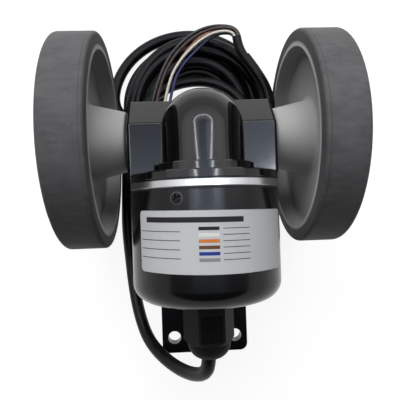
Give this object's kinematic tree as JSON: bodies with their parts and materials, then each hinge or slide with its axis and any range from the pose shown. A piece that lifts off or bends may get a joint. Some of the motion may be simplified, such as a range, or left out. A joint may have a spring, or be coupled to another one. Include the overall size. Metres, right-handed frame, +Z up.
{
  "type": "measuring wheel encoder",
  "caption": "Rotary encoder driven by rubber-tyred measuring wheels through a right-angle worm gear, with a mounting foot and a coiled lead.",
  "frame": {"origin": "middle of the object's box on the surface it lies on, without the cable", "axes": "+X along the axle, +Y from the cable gland to the gear housing's nose, +Z up from the surface"},
  "size_m": [0.0996, 0.1477, 0.0818],
  "materials": {
    "tyre_rubber": "matt dark grey",
    "wheel_plastic": "fine satin grey",
    "plain_steel": "turned",
    "bearing_steel": "polished",
    "spring_steel": "blackened",
    "gear_brass": "cut",
    "housing_black": "gloss black",
    "foot_black": "satin black",
    "bare_aluminium": "turned",
    "cap_black": "gloss black",
    "seal_rubber": "matt black",
    "board_green": "solder mask",
    "gate_black": "moulded",
    "disc_glass": "clear",
    "gland_nylon": "satin black",
    "cable_jacket": "satin black",
    "wire_white": "satin",
    "wire_brown": "satin",
    "wire_blue": "satin",
    "wire_orange": "satin",
    "wire_black": "satin"
  },
  "bodies": {
    "housing": {"gear_housing": "housing_black", "mounting_foot": "foot_black", "foot_screws": "plain_steel", "axle_bearing_outer_rings": "bearing_steel", "bearing_circlips": "spring_steel", "encoder_base": "bare_aluminium", "encoder_mount_screws": "plain_steel", "shaft_bearing_outer_rings": "bearing_steel", "cap_gasket": "seal_rubber", "encoder_cap": "cap_black", "cap_screws": "plain_steel", "board_posts": "plain_steel", "board_screws": "plain_steel", "circuit_board": "board_green", "light_gate": "gate_black", "gland_body": "gland_nylon", "gland_locknut": "gland_nylon", "gland_nut": "gland_nylon", "gland_seal": "seal_rubber", "cable_lead": "cable_jacket", "cable_coil": "cable_jacket", "cable_tail": "cable_jacket", "wire_white": "wire_white", "wire_brown": "wire_brown", "wire_blue": "wire_blue", "wire_orange": "wire_orange", "wire_black": "wire_black", "cable_sleeve": "cable_jacket"},
    "wheel_set": {"tyre_left": "tyre_rubber", "tyre_right": "tyre_rubber", "wheel_core_left": "wheel_plastic", "wheel_core_right": "wheel_plastic", "wheel_washers": "plain_steel", "wheel_screws": "plain_steel", "axle_shaft": "plain_steel", "axle_sleeves": "plain_steel", "axle_spacers": "plain_steel", "axle_bearing_inner_rings": "bearing_steel", "worm": "plain_steel"},
    "encoder_rotor": {"worm_wheel": "gear_brass", "worm_wheel_grub_screw": "plain_steel", "encoder_shaft": "plain_steel", "code_disc_hub": "bare_aluminium", "code_disc": "disc_glass", "shaft_bearing_inner_rings": "bearing_steel"}
  },
  "joints": [
    {"name": "wheel_spin", "type": "hinge", "parent": "housing", "child": "wheel_set", "pos_m": [0, 0.0229, 0.0398], "axis": [1, 0, 0], "continuous": true},
    {"name": "encoder_spin", "type": "hinge", "parent": "housing", "child": "encoder_rotor", "pos_m": [0, 0.0229, 0.0568], "axis": [0, 1, 0], "continuous": true}
  ],
  "couplings": [
    {"joint": "encoder_spin", "follows": "wheel_spin", "ratio": 0.25}
  ]
}
